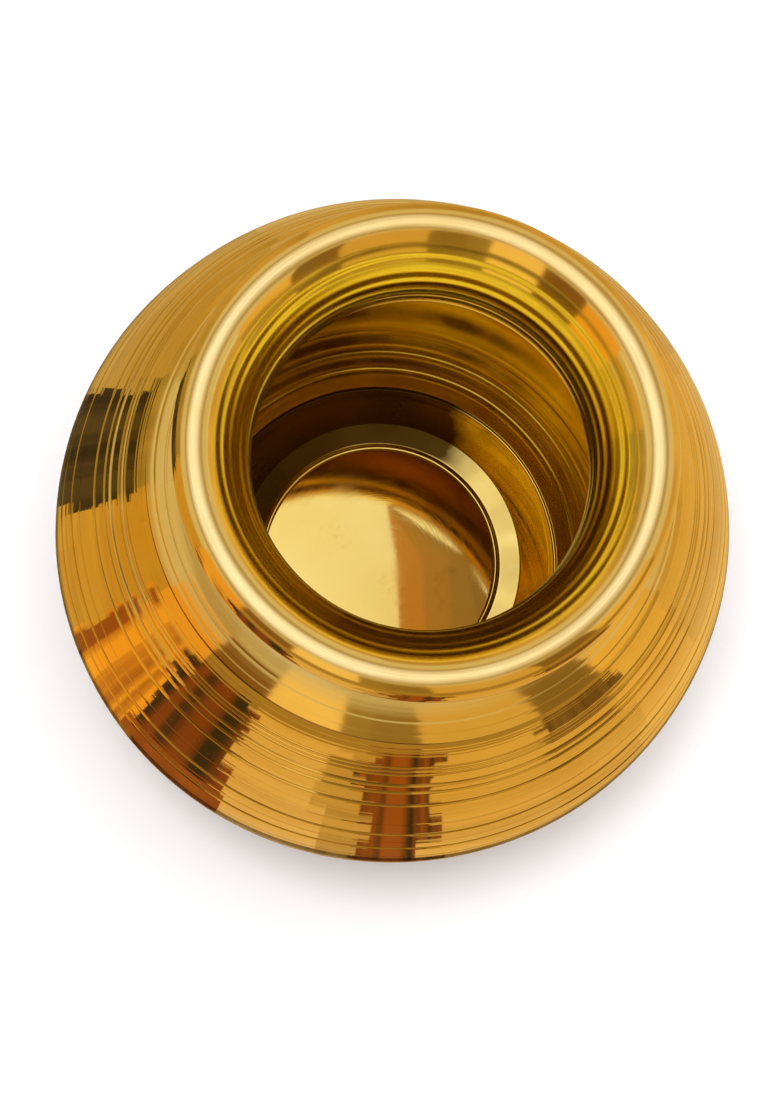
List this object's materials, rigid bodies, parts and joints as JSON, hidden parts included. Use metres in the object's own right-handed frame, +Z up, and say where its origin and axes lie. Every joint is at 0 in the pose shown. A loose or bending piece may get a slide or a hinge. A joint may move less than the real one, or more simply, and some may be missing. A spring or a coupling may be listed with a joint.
{
  "type": "water pot",
  "caption": "Round-bellied brass water pot with a flared neck, a thick rolled lip and turned bands round the shoulder, for carrying and pouring water by hand.",
  "frame": {"origin": "on the pot's axis, on the surface it stands on", "axes": "+Z up the pot's axis, towards the mouth; the pot is round, so X and Y are free"},
  "size_m": [0.146, 0.146, 0.1231],
  "materials": {
    "collar_brass": "polished, fine turning lines",
    "body_brass": "polished, turned bands",
    "base_brass": "polished, lightly scratched",
    "wire_brass": "drawn wire",
    "braze": "dull, darkened"
  },
  "bodies": {
    "root": {"rim_wire": "wire_brass", "neck_collar": "collar_brass", "neck_seam": "braze", "shoulder_shell": "body_brass", "belly_seam": "braze", "belly_bowl": "body_brass", "base_seam": "braze", "base_dish": "base_brass"}
  },
  "joints": []
}
